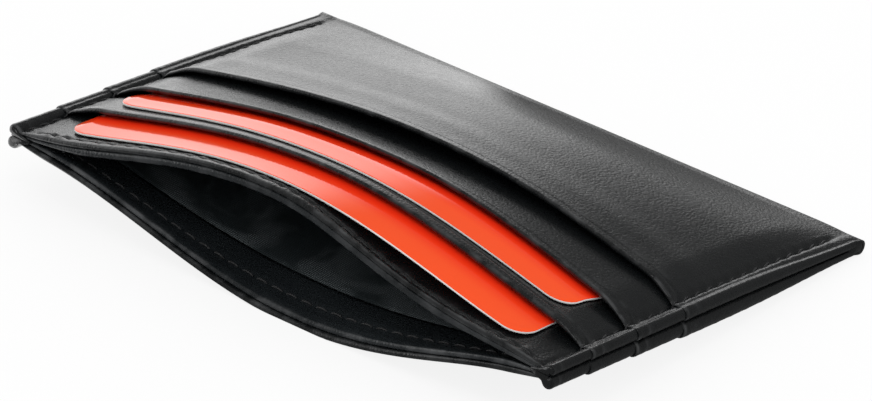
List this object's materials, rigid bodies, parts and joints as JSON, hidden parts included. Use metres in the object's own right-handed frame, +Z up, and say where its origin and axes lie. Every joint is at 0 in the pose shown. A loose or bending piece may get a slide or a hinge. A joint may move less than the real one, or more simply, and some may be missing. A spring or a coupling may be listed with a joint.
{
  "type": "card holder wallet",
  "caption": "Slim two-sided leather card holder with stepped card slots on each face, an open centre pocket and cards that slide out.",
  "frame": {"origin": "middle of the underside's bounding box, on the surface that the wallet lies on", "axes": "+X across the wallet, to the right when the mouth faces the viewer; +Y from the mouth to the fold; +Z up, out of the front face"},
  "size_m": [0.1028, 0.0776, 0.0194],
  "materials": {
    "black_leather": "fine-grained black leather, semi-gloss",
    "black_fabric": "black woven lining cloth, dull",
    "black_thread": "black sewing thread",
    "red_card": "red printed card, satin"
  },
  "bodies": {
    "wallet": {"outer_leather": "black_leather", "front_base_panel": "black_leather", "front_pocket_1": "black_leather", "front_pocket_2": "black_leather", "front_lip_facing": "black_leather", "front_lining": "black_fabric", "front_pocket_1_backing": "black_fabric", "front_pocket_2_backing": "black_fabric", "front_left_seam": "black_thread", "front_right_seam": "black_thread", "front_lip_seam": "black_thread", "front_facing_seam": "black_thread", "back_base_panel": "black_leather", "back_pocket_1": "black_leather", "back_pocket_2": "black_leather", "back_lip_facing": "black_leather", "back_lining": "black_fabric", "back_pocket_1_backing": "black_fabric", "back_pocket_2_backing": "black_fabric", "back_left_seam": "black_thread", "back_right_seam": "black_thread", "back_lip_seam": "black_thread", "back_facing_seam": "black_thread"},
    "card_1": {"front_card_1": "red_card"},
    "card_2": {"front_card_2": "red_card"}
  },
  "joints": [
    {"name": "front_card_1_slide", "type": "slide", "parent": "wallet", "child": "card_1", "axis": [0, -0.9876, 0.1573], "range_m": [0, 0.07], "deforming": ["front_card_1"]},
    {"name": "front_card_2_slide", "type": "slide", "parent": "wallet", "child": "card_2", "axis": [0, -0.9876, 0.1573], "range_m": [0, 0.07], "deforming": ["front_card_2"]}
  ]
}
